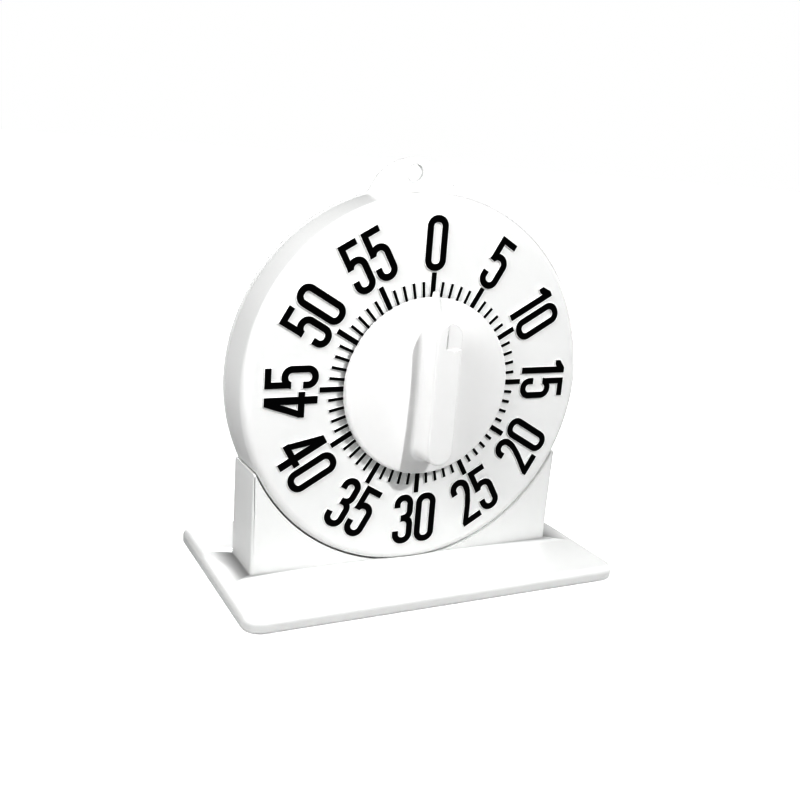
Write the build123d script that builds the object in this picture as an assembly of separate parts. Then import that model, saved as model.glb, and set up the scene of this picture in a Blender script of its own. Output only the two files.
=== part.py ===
"""Mechanical minute timer: a round case in a cradle stand, turned by a central grip knob.

Millimetres. Origin at the centre of the stand's footprint on the table, +Z up, dial
facing -Y. All but the stand and its feet are drawn on the dial: x right, y up, z towards
the viewer, 0 on the numeral plane. A "depth" is measured from there away from the viewer.
"""
from build123d import *
import math
import os

# ---------------------------------------------------------------- driving dimensions
DIAL_Y = -15.0            # plane of the inked numerals
DIAL_Z = 94.4             # height of the dial centre above the table
DIAL = Plane(origin=(0, DIAL_Y, DIAL_Z), x_dir=(1, 0, 0), z_dir=(0, -1, 0)).location
BEYOND = 60.0             # a depth behind every part, for cuts that run right through

# stand
BASE_W, BASE_D = 194.0, 112.0
BASE_BOTTOM, BASE_TOP = 0.6, 7.0
BASE_CORNER = 9.0
BASE_WALL, BASE_SKIN = 2.4, 3.4
RIB_W = 1.8
FOOT_R, FOOT_X, FOOT_Y = 6.5, 82.0, 42.0
CRADLE_FRONT, CRADLE_BACK = 2.7, 31.4     # depths
CRADLE_HALF_W = 81.6
CRADLE_RISE = -38.8       # top of the cradle from the dial centre
CRADLE_WALL = 2.4
SADDLE_GAP = 0.3

# case
CASE_R, CASE_R_BACK = 89.0, 89.4
CASE_EDGE = 4.5           # radius of the rounded front edge
FACE, FACE_T = 0.8, 2.4   # depth and thickness of the plain face
FACE_BACK = FACE + FACE_T
CASE_BACK = 24.6          # depth where the front housing ends
COVER_BACK = 28.4         # depth of the back surface
COVER_T = 2.2
COVER_FRONT = COVER_BACK - COVER_T
COVER_R = CASE_R_BACK + 0.2
COVER_LIP_R = 85.0        # inside radius of the cover's rim
TAB_R, TAB_Y = 25.0, 78.6
HANG_R, HANG_Y = 3.87, 96.7
TAP_R = 1.25              # movement and gong screws
COVER_TAP_R = 1.5
COVER_SEAT = COVER_BACK - 1.3     # depth of the cover screws' counterbores

# dial
TICKS = 60
TICK_IN, TICK_MINOR, TICK_MAJOR = 41.6, 49.1, 53.3
TICK_W_MINOR, TICK_W_MAJOR = 1.0, 2.1
NUMERAL_R = 66.8          # radius of the numerals' middles
INK = 0.12
RIM = 0.22                # margin of each raised numeral around its ink
STROKE = 2.8
HALF_H, HALF_W = 12.45, 5.2       # half size of a digit

# knob
KNOB_R = 42.5
KNOB_GAP = 1.0
KNOB_WALL = 2.0
GRIP_TOP = 20.2
GRIP_START = 4.0
GRIP_TAPER = 4.0
GRIP_HALF_L, GRIP_HALF_W = 34.6, 7.7
MAIN_R = 2.5              # main arbor
MAIN_TAIL_R = 2.0
MAIN_FLAT = 1.6           # centre to the flat on the arbor

# movement: depths of the front and rear plates' faces
FP_FRONT, FP_BACK = 6.0, 7.2
RP_FRONT, RP_BACK = 19.0, 20.2

# gear train: module and teeth of each wheel and of the pinion it drives
MODULE_1, MAIN_TEETH, SECOND_PINION = 0.7, 60, 10
MODULE_2, SECOND_TEETH, THIRD_PINION = 0.6, 50, 10
MODULE_3, THIRD_TEETH, ESCAPE_PINION = 0.5, 48, 8
ESCAPE_TEETH, ESCAPE_R, ESCAPE_ROOT_R = 20, 7.5, 5.9
ARBOR_R, ESCAPE_ARBOR_R = 1.0, 0.9
ARBOR_START, ARBOR_END = 7.6, 18.6
PIVOT_R, PIVOT_HOLE_R = 0.6, 0.65
PIVOT_INSET = 0.2         # pivot tips inside the plates' outer faces


def polar(origin, distance, degrees):
    turn = math.radians(degrees)
    return (origin[0] + distance * math.cos(turn), origin[1] + distance * math.sin(turn))


# arbor places on the dial; the directions run from each arbor to the next
TO_SECOND, TO_THIRD, TO_ESCAPE, TO_VERGE = 215.0, 321.0, 12.0, 33.0
MAIN = (0.0, 0.0)
SECOND = polar(MAIN, MODULE_1 * (MAIN_TEETH + SECOND_PINION) / 2, TO_SECOND)
THIRD = polar(SECOND, MODULE_2 * (SECOND_TEETH + THIRD_PINION) / 2, TO_THIRD)
ESCAPE = polar(THIRD, MODULE_3 * (THIRD_TEETH + ESCAPE_PINION) / 2, TO_ESCAPE)
VERGE = polar(ESCAPE, 13.4, TO_VERGE)
GONG = (4.0, 56.0)
HAMMER = (20.0, 12.0)
HAMMER_SPRING = (27.5, 12.0)
STRIKER = (7.0, 30.6)
PILLARS = [(-33.0, 20.0), (31.0, 21.5), (30.0, -36.0), (-33.0, -36.0)]
MOVEMENT_SCREWS = [(-33.0, -8.0), (31.0, -8.0), (10.0, -38.5), (-16.0, 22.0)]
COVER_SCREWS = [polar(MAIN, 78.0, direction) for direction in (45, 135, 225, 315)]

os.makedirs("parts", exist_ok=True)


# ---------------------------------------------------------------- helpers
def save(name, solids):
    body = solids[0] if len(solids) == 1 else Compound(children=solids)
    body.label = name
    export_step(body, f"parts/{name}.step")


def save_on_dial(name, *shapes):
    """Move shapes from the dial frame to the stand's frame and save their solids."""
    save(name, [DIAL * solid for shape in shapes for solid in shape.solids()])


def largest(shape):
    return max(shape.solids(), key=lambda solid: solid.volume)


def rod(radius, start, end, centre=MAIN):
    """Cylinder between two depths."""
    return Pos(*centre, -(start + end) / 2) * Cylinder(radius, abs(end - start))


def hole(radius, centre=MAIN):
    return rod(radius, 0, BEYOND, centre)


def tube(outer, inner, start, end, centre=MAIN):
    return rod(outer, start, end, centre) - rod(inner, start - 1, end + 1, centre)


def slab(sketch, start, end):
    """Extrude a front-view sketch between two depths, start being the smaller."""
    return Pos(0, 0, -end) * extrude(sketch, amount=end - start)


def bar(first, second, width, start, end):
    """Round-ended bar between two centres."""
    run, rise = first[0] - second[0], first[1] - second[1]
    outline = Rot(0, 0, math.degrees(math.atan2(rise, run))) * SlotCenterToCenter(
        math.hypot(run, rise), width)
    return slab(Pos((first[0] + second[0]) / 2, (first[1] + second[1]) / 2) * outline, start, end)


def turned(points):
    """Revolve (radius, depth) points about the dial axis; a 3-tuple is an arc's mid point."""
    edges, i = [], 0
    loop = [(point[0], 0, -point[1]) for point in points + points[:1]]
    while i < len(points):
        if len(points[(i + 1) % len(points)]) == 3:
            edges.append(ThreePointArc(loop[i], loop[i + 1], loop[i + 2]))
            i += 2
        else:
            edges.append(Line(loop[i], loop[i + 1]))
            i += 1
    return revolve(make_face(Wire(edges)), axis=Axis.Z)


def poly(*points):
    return make_face(Polyline(*points, close=True))


def screw(centre, tip, seat, top, shank_r, head_r, slot):
    """Screw from its tip depth to its head's top depth; slot is a box centred on the top."""
    body = rod(head_r, seat, top, centre) + rod(shank_r, tip, seat, centre)
    return body - Pos(*centre, -top) * slot


# ---------------------------------------------------------------- numerals
# Each digit is centred on its own origin; grow widens its outline on every side.
def rect(x0, x1, y0, y1, grow=0.0):
    return Pos((x0 + x1) / 2, (y0 + y1) / 2) * Rectangle(x1 - x0 + 2 * grow, y1 - y0 + 2 * grow)


def loop_stroke(x0, x1, y0, y1, radius, grow):
    """Upright rounded loop of one stroke."""
    def rounded(inset, corner):
        return Pos((x0 + x1) / 2, (y0 + y1) / 2) * RectangleRounded(
            x1 - x0 - 2 * inset, y1 - y0 - 2 * inset, corner)
    return rounded(-grow, radius + grow) - rounded(STROKE + grow, max(radius - STROKE, 2.0) - grow)


def digit_0(grow):
    return loop_stroke(-HALF_W, HALF_W, -HALF_H, HALF_H, 4.9, grow)


def digit_1(grow):
    flag_y = HALF_H - 5.1 - grow
    return poly(
        (2.95 + grow, -HALF_H - grow), (2.95 + grow, HALF_H + grow),
        (0.6 - grow * 0.4, HALF_H + grow), (-3.1 - grow, HALF_H - 2.7 + grow * 0.6),
        (-3.1 - grow, flag_y), (-1.4, flag_y),
        (0.15 - grow, HALF_H - 4.3), (0.15 - grow, -HALF_H - grow))


def digit_2(grow):
    foot_top = -HALF_H + STROKE
    run = [
        (5.3, 7.35), (5.2, 5.4), (4.75, 3.6), (2.6, -1.6), (-2.0, foot_top), (5.2, foot_top),
        (5.2, -HALF_H), (-5.6, -HALF_H), (-5.6, -HALF_H + 1.9), (-0.6, -2.3), (1.9, 2.9),
        (2.35, 5.0), (2.5, 7.35)]
    hook = [(-2.0, 7.35), (-2.0, 5.95), (-4.8, 5.95), (-4.8, 7.35)]
    path = [
        ThreePointArc(hook[-1], (0.25, HALF_H), run[0]),
        ThreePointArc(run[-1], (0.25, HALF_H - STROKE - 0.1), hook[0])]
    path += [Line(*ends) for points in (run, hook) for ends in zip(points, points[1:])]
    shape = make_face(path)
    return offset(shape, amount=grow, kind=Kind.INTERSECTION) if grow else shape


def digit_3(grow):
    upper_bottom, lower_top = HALF_H - 13.2, HALF_H - 10.6
    upper = loop_stroke(-4.8, 4.9, upper_bottom, HALF_H, 4.8, grow)
    upper -= rect(-7, 0.0, -4, HALF_H - 6.2 - grow)
    lower = loop_stroke(-5.0, 5.2, -HALF_H, lower_top, 4.9, grow)
    lower -= rect(-7, -1.0, -HALF_H + 6.3 + grow, 4)
    return upper + lower + rect(-1.0, 1.6, upper_bottom, lower_top, grow)


def digit_4(grow):
    bar_top = -HALF_H + 8.9
    legs = poly(
        (3.15 + grow, HALF_H + grow), (3.15 + grow, -HALF_H - grow), (-grow, -HALF_H - grow),
        (-grow, -HALF_H + 6.4), (-6.2 - grow, -HALF_H + 6.2), (-6.2 - grow, -HALF_H + 8.2),
        (-0.6 - grow, HALF_H + grow))
    opening = poly(
        (-grow, HALF_H - 7.0 - 3 * grow), (-grow, bar_top + grow),
        (-3.3 + 1.6 * grow, bar_top + grow))
    return (legs + rect(-6.2, 5.3, -HALF_H + 6.1, bar_top, grow)) - opening


def digit_5(grow):
    bowl = loop_stroke(-4.9, 5.2, -HALF_H, 4.75, 4.9, grow)
    bowl -= rect(-7, 0.2, -HALF_H + 6.9 + grow, 0.45 - grow)
    stem = rect(-4.6, -2.0, 0.45, HALF_H, grow)
    top = rect(-4.6, 4.3, HALF_H - 2.6, HALF_H, grow)
    return stem + top + (bowl & rect(-7, 7, -HALF_H - 1, 5.5))


DIGITS = [digit_0, digit_1, digit_2, digit_3, digit_4, digit_5]


def numeral(minute, grow):
    tens, units = divmod(minute, 10)
    if tens == 0:
        return [DIGITS[units](grow)]
    left, right = (-6.95, 3.6) if tens == 1 else (-6.0, 6.1)
    return [Pos(left, 0) * DIGITS[tens](grow), Pos(right, 0) * DIGITS[units](grow)]


def dial_sketches(grow=0.0):
    """Ticks and numerals, minutes rising clockwise from the top."""
    sketches = []
    for minute in range(TICKS):
        major = minute % 5 == 0
        tick_out = TICK_MAJOR if major else TICK_MINOR
        width = TICK_W_MAJOR if major else TICK_W_MINOR
        tick = Rectangle(width + 2 * grow, tick_out - TICK_IN + 2 * grow)
        sketches.append(Rot(0, 0, -6 * minute) * (Pos(0, (TICK_IN + tick_out) / 2) * tick))
    for minute in range(0, TICKS, 5):
        # the lower five numerals are turned half round, so 30 stands upright
        turn = -6 * minute + (180 if 20 <= minute <= 40 else 0)
        angle = math.radians(6 * minute)
        centre = (NUMERAL_R * math.sin(angle), NUMERAL_R * math.cos(angle))
        for digit in numeral(minute, grow):
            sketches.append(Pos(*centre) * (Rot(0, 0, turn) * digit))
    return sketches


# ---------------------------------------------------------------- gears
def gear(teeth, module, phase):
    """Involute outline with a tooth centred at phase degrees."""
    pressure = math.radians(20)
    pitch_r = module * teeth / 2
    base_r = pitch_r * math.cos(pressure)
    tip_r, root_r = pitch_r + 0.85 * module, pitch_r - 1.2 * module
    tooth_share = 0.40        # tooth width over the pitch, on the pitch circle
    steps = 4                 # segments in a flank

    def involute(angle):
        return math.tan(angle) - angle

    flank_r = max(base_r, root_r)
    half_base = math.pi * tooth_share / teeth + involute(pressure)
    side = []                 # (radius, half angle of the tooth)
    for k in range(steps + 1):
        radius = flank_r + (tip_r - flank_r) * k / steps
        side.append((radius, half_base - involute(math.acos(min(1.0, base_r / radius)))))
    if root_r < base_r - 1e-6:
        side.insert(0, (root_r, side[0][1]))
    points = []
    for i in range(teeth):
        middle = 2 * math.pi * i / teeth + math.radians(phase)
        around = [(radius, middle - half) for radius, half in side]
        around += [(radius, middle + half) for radius, half in reversed(side)]
        points += [(radius * math.cos(turn), radius * math.sin(turn)) for radius, turn in around]
    return poly(*points)


def wheel(centre, teeth, module, line, start, end, bore_r, windows, window_r, window_at):
    """Wheel with a ring of round windows and a tooth on the line of centres."""
    body = slab(Pos(*centre) * gear(teeth, module, line % (360 / teeth)), start, end)
    body -= hole(bore_r, centre)
    for k in range(windows):
        body -= hole(window_r, polar(centre, window_at, (k + 0.5) * 360 / windows))
    return body


def pinion_arbor(centre, radius, teeth, module, line, start, end):
    """Arbor with a pivot at each end; its pinion has a gap facing the driving wheel."""
    pitch = 360 / teeth
    body = rod(radius, ARBOR_START, ARBOR_END, centre)
    body += rod(PIVOT_R, FP_FRONT + PIVOT_INSET, ARBOR_START, centre)
    body += rod(PIVOT_R, ARBOR_END, RP_BACK - PIVOT_INSET, centre)
    leaves = gear(teeth, module, (line + 180) % pitch + pitch / 2)
    return body + slab(Pos(*centre) * leaves, start, end)


def toothed(count, phase, profile):
    """Outline repeating (radius, radians past the tooth's start) points."""
    return poly(*[
        polar(MAIN, radius, 360 / count * k + phase + math.degrees(past))
        for k in range(count) for radius, past in profile])


# ================================================================ stand
base = extrude(RectangleRounded(BASE_W, BASE_D, BASE_CORNER), amount=BASE_TOP - BASE_BOTTOM)
base = Pos(0, 0, BASE_BOTTOM) * base
base = fillet(base.faces().sort_by(Axis.Z)[-1].edges(), 3.0)

cradle_depth = CRADLE_BACK - CRADLE_FRONT
cradle_y = DIAL_Y + (CRADLE_FRONT + CRADLE_BACK) / 2
cradle_top = DIAL_Z + CRADLE_RISE
block = Pos(0, cradle_y, (BASE_TOP - 1 + cradle_top) / 2) * Box(
    2 * CRADLE_HALF_W, cradle_depth, cradle_top - BASE_TOP + 1)
block = fillet(block.edges().filter_by(Axis.Z), 1.2)

# the case's outline with clearance, open to the rear inside a small back lip
edge_r = CASE_R - CASE_EDGE       # where the face meets the rounded edge
edge_end = FACE + CASE_EDGE
arc_mid = (CASE_EDGE + SADDLE_GAP) * math.sin(math.radians(45))
lip_r, lip_depth = CASE_R_BACK - 1.6, COVER_BACK + 0.4
saddle = turned([
    (0, FACE - SADDLE_GAP), (edge_r, FACE - SADDLE_GAP),
    (edge_r + arc_mid, edge_end - arc_mid, 0), (CASE_R + SADDLE_GAP, edge_end),
    (COVER_R + SADDLE_GAP, lip_depth), (lip_r, lip_depth), (lip_r, BEYOND), (0, BEYOND)])

# hollow of the cradle, open below
core_h = cradle_top - CRADLE_WALL
core = Pos(0, cradle_y, core_h / 2) * Box(
    2 * (CRADLE_HALF_W - CRADLE_WALL), cradle_depth - 2 * CRADLE_WALL, core_h)
core -= DIAL * rod(CASE_R_BACK + SADDLE_GAP + CRADLE_WALL, -60, 90)

# hollow under the base, crossed by ribs
pan_h = BASE_TOP - BASE_SKIN
pan = extrude(
    RectangleRounded(BASE_W - 2 * BASE_WALL, BASE_D - 2 * BASE_WALL, BASE_CORNER - BASE_WALL),
    amount=pan_h)
for x in (-60.0, -30.0, 0.0, 30.0, 60.0):
    pan -= Pos(x, 0, 2) * Box(RIB_W, BASE_D, 4)
for y in (-30.0, 34.0):
    pan -= Pos(0, y, 2) * Box(BASE_W, RIB_W, 4)
save("stand", [largest((base + block) - (DIAL * saddle) - core - pan)])

feet = []
for x in (-FOOT_X, FOOT_X):
    for y in (-FOOT_Y, FOOT_Y):
        foot = Pos(x, y, pan_h / 2) * Cylinder(FOOT_R, pan_h)
        feet.append(fillet(foot.edges().sort_by(Axis.Z)[0], 0.6).solids()[0])
save("rubber_feet", feet)

# ================================================================ case
arc_mid = CASE_EDGE * math.sin(math.radians(45))
housing = turned([
    (5.2, FACE), (edge_r, FACE), (edge_r + arc_mid, edge_end - arc_mid, 0), (CASE_R, edge_end),
    (CASE_R_BACK, CASE_BACK), (87.2, CASE_BACK), (86.6, edge_end + 1.2),
    (85.9, FACE_BACK + 0.95, 0), (84.0, FACE_BACK), (5.2, FACE_BACK)])
boss_start = FACE_BACK - 0.4
for centre in MOVEMENT_SCREWS:
    housing += rod(3.6, boss_start, FP_FRONT, centre)
for centre in COVER_SCREWS:
    housing += rod(4.2, boss_start, CASE_BACK - 0.2, centre)
housing += rod(4.5, boss_start, 8.0, GONG)
for centre in MOVEMENT_SCREWS:
    housing -= rod(TAP_R, 2.4, FP_FRONT + 1, centre)
for centre in COVER_SCREWS:
    housing -= rod(COVER_TAP_R, 13.0, CASE_BACK + 1, centre)
housing -= rod(TAP_R, 2.6, 9.0, GONG)
raised = []
for sketch in dial_sketches(RIM):
    raised += slab(sketch, 0.0, FACE + 0.4).solids()
save_on_dial("front_housing", housing.solids()[0].fuse(*raised))
save_on_dial("dial_markings", *[slab(sketch, -INK, 0.0) for sketch in dial_sketches()])

cover = slab(Circle(COVER_R) + Pos(0, TAB_Y) * Circle(TAB_R), COVER_FRONT, COVER_BACK)


def at_tab_root(edge):
    """True for the edges where the tab's circle meets the cover's."""
    x, y = edge.center().X, edge.center().Y
    on_cover = abs(math.hypot(x, y) - COVER_R) < 0.05
    return on_cover and abs(math.hypot(x, y - TAB_Y) - TAB_R) < 0.05


cover = fillet([edge for edge in cover.edges().filter_by(Axis.Z) if at_tab_root(edge)], 5.0)
cover += tube(CASE_R_BACK, COVER_LIP_R, CASE_BACK + 0.1, COVER_FRONT + 0.1)
cover += tube(86.9, COVER_LIP_R, CASE_BACK - 2.2, COVER_FRONT + 0.1)
cover -= hole(HANG_R, (0, HANG_Y))
for centre in COVER_SCREWS:
    cover -= hole(1.8, centre)
    cover -= rod(3.7, COVER_SEAT, BEYOND, centre)
    cover -= tube(9.0, 4.6, 20.0, COVER_FRONT, centre)    # rim cut back near the boss
for i in range(-3, 4):
    cover -= slab(Pos(4 + 7.0 * i, 30) * SlotOverall(26, 2.6, rotation=90), 20, BEYOND)
save_on_dial("rear_cover", largest(cover))

cross = Box(3.8, 0.8, 1.2) + Box(0.8, 3.8, 1.2)
save_on_dial("cover_screws", *[
    screw(centre, tip=15.0, seat=COVER_SEAT, top=COVER_BACK + 0.3,
          shank_r=COVER_TAP_R, head_r=3.4, slot=cross)
    for centre in COVER_SCREWS])

# ================================================================ movement frame
PILLAR_END_R = 1.2


def drilled_plate(start, end, holes):
    """Plate with (centre, radius) holes."""
    plate = slab(Pos(-2.0, -8.5) * RectangleRounded(74, 68, 7), start, end)
    for centre, radius in holes + [(pillar, PILLAR_END_R) for pillar in PILLARS]:
        plate -= hole(radius, centre)
    return plate


pivots = [(centre, PIVOT_HOLE_R) for centre in (SECOND, THIRD, ESCAPE)]
save_on_dial("front_plate", drilled_plate(
    FP_FRONT, FP_BACK,
    [(MAIN, 2.55)] + pivots + [(VERGE, PIVOT_HOLE_R)]
    + [(centre, 1.4) for centre in MOVEMENT_SCREWS]))
save_on_dial("rear_plate", drilled_plate(
    RP_FRONT, RP_BACK,
    [(MAIN, 2.05)] + pivots + [(VERGE, 1.05)]
    + [(centre, 2.9) for centre in MOVEMENT_SCREWS] + [(HAMMER, 1.1), (HAMMER_SPRING, 1.0)]))
save_on_dial("plate_pillars", *[
    rod(2.5, FP_BACK, RP_FRONT, centre)
    + rod(PILLAR_END_R, FP_FRONT, FP_BACK + 0.5, centre)
    + rod(PILLAR_END_R, RP_FRONT - 0.5, 22.2, centre)
    for centre in PILLARS])
save_on_dial("pillar_nuts", *[
    slab(Pos(*centre) * RegularPolygon(2.7, 6), RP_BACK, RP_BACK + 1.6)
    - hole(PILLAR_END_R, centre)
    for centre in PILLARS])
save_on_dial("movement_screws", *[
    screw(centre, tip=2.8, seat=FP_BACK, top=FP_BACK + 1.3,
          shank_r=TAP_R, head_r=2.4, slot=Box(5.2, 0.7, 1.0))
    for centre in MOVEMENT_SCREWS])

# mainspring: a flat strip wound as a spiral, with an eye round a post at its outer end
SPRING_TURNS, SPRING_IN, SPRING_OUT, STRIP = 7.25, 2.62, 12.2, 0.42
SPRING_START, SPRING_END = 12.2, 17.8
SPIRAL_STEPS = 150
EYE_R, EYE_HOLE_R = 1.65, 1.25


def spiral(widen):
    points = []
    for i in range(SPIRAL_STEPS + 1):
        radius = SPRING_IN + (SPRING_OUT - SPRING_IN) * i / SPIRAL_STEPS + widen
        turn = 2 * math.pi * SPRING_TURNS * i / SPIRAL_STEPS
        points.append((radius * math.cos(turn), radius * math.sin(turn)))
    return Spline(*points)


inside, outside = spiral(0), spiral(STRIP)
coil = make_face(Wire([
    inside, Line(inside @ 1, outside @ 1), outside, Line(outside @ 0, inside @ 0)]))
strip_end = polar(MAIN, SPRING_OUT + STRIP / 2, 360 * SPRING_TURNS)
post = (strip_end[0] + 1.05, strip_end[1] - 1.15)
spring = slab(coil, SPRING_START, SPRING_END)
spring += tube(EYE_R, EYE_HOLE_R, SPRING_START, SPRING_END, post)
spring -= hole(EYE_HOLE_R, post)
save_on_dial("mainspring", largest(spring))
save_on_dial("spring_post", rod(1.2, 12.0, RP_FRONT, post))

# gong cup, (radius, depth) about its own centre
GONG_PROFILE = [
    (1.6, 8.0), (14.0, 8.0), (19.4, 9.6, 0), (22.0, 14.0), (22.6, 19.4),
    (21.7, 19.4), (21.1, 14.2), (18.7, 10.4, 0), (13.9, 8.9), (1.6, 8.9)]
save_on_dial("gong", Pos(*GONG, 0) * turned(GONG_PROFILE))
save_on_dial("gong_screw", screw(
    GONG, tip=3.2, seat=8.9, top=10.6, shank_r=TAP_R, head_r=3.0, slot=Box(7, 0.8, 1.2)))

stud = rod(1.1, RP_FRONT, 23.6, HAMMER)
stud += rod(2.2, 23.6, 24.4, HAMMER)
stud += rod(1.7, RP_BACK, RP_BACK + 0.7, HAMMER)
save_on_dial("hammer_stud", stud)
blade = poly((27.3, 12.4), (27.7, 12.4), (22.3, 25.0), (21.95, 24.8))
save_on_dial("hammer_spring", rod(1.0, RP_FRONT, 23.2, HAMMER_SPRING) + slab(blade, 21.4, 22.8))

# ================================================================ knob and main arbor
knob = turned([
    (0, -KNOB_GAP), (KNOB_R, -KNOB_GAP), (KNOB_R, -3.3), (KNOB_R - 0.45, -4.55, 0),
    (KNOB_R - 1.7, -5.0), (22.0, -6.85, 0), (0, -7.5)])
grip = Pos(0, 0, GRIP_START) * extrude(
    SlotOverall(2 * GRIP_HALF_L, 2 * GRIP_HALF_W, rotation=90),
    amount=GRIP_TOP - GRIP_START, taper=GRIP_TAPER)
grip = fillet(grip.faces().sort_by(Axis.Z)[-1].edges(), 0.7)
# step in the top of the grip's upper end, mostly right of centre
grip -= Pos(4.0, 32.0, GRIP_TOP) * Box(10.6, 21.0, 3.2)
pointer = Pos(0, 0, 1.6) * extrude(
    poly((-2.6, 35.8), (2.6, 35.8), (0.7, 44.6), (0, 45.0), (-0.7, 44.6)), amount=4.5)
knob = knob + grip + pointer

# inside of the knob, less a central hub and two cross ribs
hollow_r = KNOB_R - KNOB_WALL
hollow = turned([(0, 0), (hollow_r, 0), (hollow_r, -2.9), (22.0, -4.85, 0), (0, -5.4)])
hollow += Pos(0, 0, 0.5) * extrude(
    SlotOverall(2 * (GRIP_HALF_L - KNOB_WALL), 2 * (GRIP_HALF_W - KNOB_WALL), rotation=90),
    amount=GRIP_TOP - 2.8, taper=GRIP_TAPER)
hollow -= rod(4.6, 10, -GRIP_TOP)
for y in (-18.0, 18.0):
    hollow -= Pos(0, y, GRIP_TOP / 2 + 1.2) * Box(16, 1.6, GRIP_TOP)
knob -= hollow
flat_cut = Pos(0, 4.5 + MAIN_FLAT, 6.0) * Box(10, 9.0, 18.2)
knob -= rod(MAIN_R, 2, -15.1) - flat_cut
save_on_dial("knob", largest(knob))

tail_start = RP_FRONT - 0.3
main_arbor = rod(MAIN_R, -15.0, tail_start) + rod(MAIN_TAIL_R, tail_start, 24.0)
save_on_dial("main_arbor", main_arbor - flat_cut)
save_on_dial("arbor_clip", tube(4.4, MAIN_R, 5.0, 5.7) - Pos(0, 4.0, -5.35) * Box(2.4, 5, 2))

CLICK = polar(MAIN, 11.6, 100)
CLICK_PIN_R = 0.8
CLICK_START = 9.85        # also the ratchet's front face
main_wheel = wheel(
    MAIN, MAIN_TEETH, MODULE_1, TO_SECOND, start=8.4, end=9.8, bore_r=MAIN_R,
    windows=5, window_r=3.4, window_at=15.6)
save_on_dial("main_wheel", main_wheel - hole(CLICK_PIN_R, CLICK))
ratchet = toothed(18, 0, [(8.0, 0), (6.7, 0.03)])
save_on_dial("ratchet_wheel", slab(ratchet, CLICK_START, 11.0) - hole(MAIN_R))
# outline of the click about its pin
pawl = poly(*[
    (CLICK[0] + x, CLICK[1] + y)
    for x, y in [(-1.4, -1.0), (1.5, -1.2), (5.6, -3.4), (5.9, -2.8), (1.2, 1.4), (-1.4, 1.2)]])
save_on_dial(
    "click", slab(pawl, CLICK_START, 10.65) + rod(CLICK_PIN_R, 8.3, 10.75, CLICK))

cam = rod(7.0, 20.8, 22.4) - hole(MAIN_TAIL_R)
cam -= slab(poly((-1.2, 8), (-1.2, 4.6), (2.6, 8)), 20, 30)
save_on_dial("alarm_cam", cam + tube(3.6, MAIN_TAIL_R, 22.4, 23.4))

# ================================================================ gear train
save_on_dial("second_arbor", pinion_arbor(
    SECOND, ARBOR_R, SECOND_PINION, MODULE_1, TO_SECOND, start=7.9, end=10.2))
save_on_dial("second_wheel", wheel(
    SECOND, SECOND_TEETH, MODULE_2, TO_THIRD, start=10.9, end=11.8, bore_r=ARBOR_R,
    windows=4, window_r=3.6, window_at=8.2))
save_on_dial("third_arbor", pinion_arbor(
    THIRD, ARBOR_R, THIRD_PINION, MODULE_2, TO_THIRD, start=10.4, end=12.4))
save_on_dial("third_wheel", wheel(
    THIRD, THIRD_TEETH, MODULE_3, TO_ESCAPE, start=13.4, end=14.3, bore_r=ARBOR_R,
    windows=4, window_r=2.8, window_at=6.4))
save_on_dial("escape_arbor", pinion_arbor(
    ESCAPE, ESCAPE_ARBOR_R, ESCAPE_PINION, MODULE_3, TO_ESCAPE, start=12.9, end=14.9))
escape = toothed(ESCAPE_TEETH, TO_VERGE + 9, [
    (ESCAPE_R, 0), (ESCAPE_R, 0.04), (ESCAPE_ROOT_R, 0.10), (ESCAPE_ROOT_R, 0.27)])
save_on_dial(
    "escape_wheel", slab(Pos(*ESCAPE) * escape, 16.2, 17.0) - hole(ESCAPE_ARBOR_R, ESCAPE))

# verge with two pallet pins, and a balance behind the rear plate
save_on_dial(
    "verge_arbor",
    rod(ARBOR_R, ARBOR_START, 23.6, VERGE)
    + rod(PIVOT_R, FP_FRONT + PIVOT_INSET, ARBOR_START, VERGE))
FORK_START, FORK_END = 14.9, 15.8
PIN_R = 0.5
fork = rod(2.6, FORK_START, FORK_END, VERGE)
for side in (-1, 1):
    pin = polar(ESCAPE, ESCAPE_R + PIN_R + 0.25, TO_VERGE + side * 54)
    fork += bar(pin, VERGE, 1.8, FORK_START, FORK_END)
    fork += rod(PIN_R, FORK_START, 17.2, pin)
save_on_dial("pallet_fork", fork - hole(ARBOR_R, VERGE))

balance = tube(11.0, 9.2, 21.6, 23.0, VERGE) + rod(2.2, 21.4, 23.2, VERGE)
for turn in (20.0, 140.0, 260.0):
    spoke = Rot(0, 0, turn) * (Pos(5.6, 0) * Rectangle(8.4, 1.4))
    balance += slab(Pos(*VERGE) * spoke, 21.8, 22.8)
save_on_dial("balance_wheel", balance - hole(ARBOR_R, VERGE))

# ================================================================ hammer
LEVER_START, LEVER_END = 21.2, 22.4
HEAD_PIN_R = 1.0
lever = rod(3.0, LEVER_START, LEVER_END, HAMMER)
for tip in (STRIKER, polar(HAMMER, 13.2, 214)):
    lever += bar(tip, HAMMER, 2.6, LEVER_START, LEVER_END)
lever -= hole(1.15, HAMMER)
save_on_dial("hammer_lever", lever - hole(HEAD_PIN_R, STRIKER))
save_on_dial(
    "hammer_head",
    rod(2.6, 14.5, LEVER_START, STRIKER) + rod(HEAD_PIN_R, 21.0, 22.8, STRIKER))
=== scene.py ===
"""Round dial timer with a bar-shaped knob, resting in a stand on a white floor.

Row frame: metres, x to the right, y from the front to the back, z up, floor at z = 0.
Sizes below are in mm. The dial axis runs along y; "depth" is measured backward from the
plane the numerals are printed on, so what stands in front of that plane has negative depth.
"""
import math

import bmesh
import bpy
import numpy as np
from mathutils import Matrix, Vector
from mathutils.geometry import tessellate_polygon


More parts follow.
